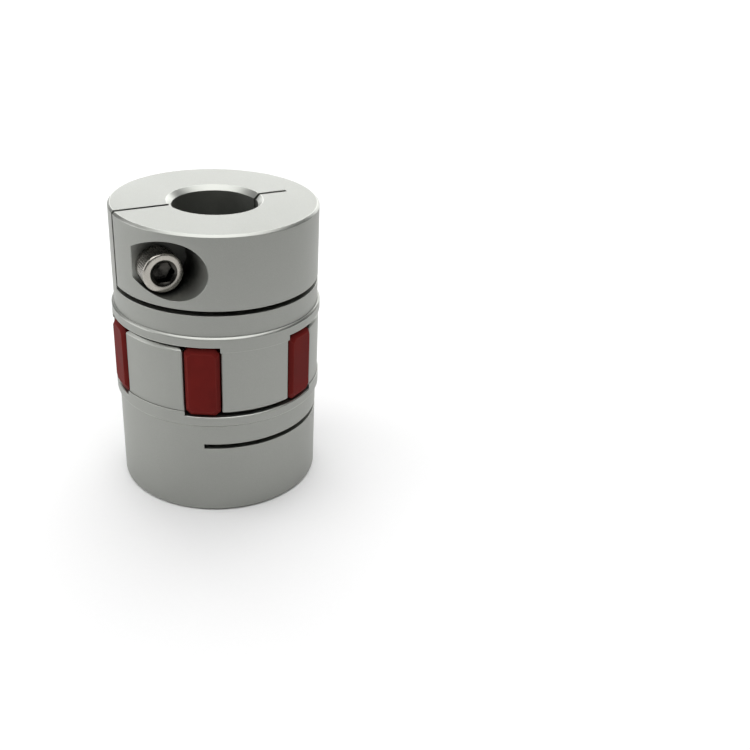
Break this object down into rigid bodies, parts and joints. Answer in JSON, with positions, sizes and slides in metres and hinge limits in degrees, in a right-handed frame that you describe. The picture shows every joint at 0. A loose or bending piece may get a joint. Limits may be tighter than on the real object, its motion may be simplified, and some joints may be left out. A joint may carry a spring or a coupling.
{
  "type": "jaw coupling",
  "caption": "Flexible jaw shaft coupling: clamp hubs with interlocking jaws around a red elastomer spider, each hub split and drawn tight by a socket head screw.",
  "frame": {"origin": "on the coupling's axis, at the lower hub's end face, which the coupling stands on", "axes": "+Z along the shafts' axis, from the lower hub to the upper hub; a spider tooth points along -Y and another along +Y; the lower hub's split opens towards +Y"},
  "size_m": [0.055, 0.0552, 0.078],
  "materials": {
    "hub_aluminium": "matt silver anodised, fine turned",
    "spider_polyurethane": "moulded red polyurethane, satin",
    "screw_steel": "bright nickel plated, knurled head"
  },
  "bodies": {
    "lower_hub": {"lower_hub": "hub_aluminium"},
    "spider": {"spider": "spider_polyurethane"},
    "upper_hub": {"upper_hub": "hub_aluminium"},
    "lower_clamp_screw": {"lower_clamp_screw": "screw_steel"},
    "upper_clamp_screw": {"upper_clamp_screw": "screw_steel"}
  },
  "joints": [
    {"name": "spider_turn", "type": "hinge", "parent": "lower_hub", "child": "spider", "pos_m": [0, 0, 0.039], "axis": [0, 0, 1], "range_deg": [-0.5, 0.5]},
    {"name": "upper_hub_pull_off", "type": "slide", "parent": "spider", "child": "upper_hub", "axis": [0, 0, 1], "range_m": [0, 0.02]},
    {"name": "lower_screw_back_out", "type": "slide", "parent": "lower_hub", "child": "lower_clamp_screw", "axis": [1, 0, 0], "range_m": [0, 0.011]},
    {"name": "upper_screw_back_out", "type": "slide", "parent": "upper_hub", "child": "upper_clamp_screw", "axis": [0.5, -0.866, 0], "range_m": [0, 0.011]}
  ]
}
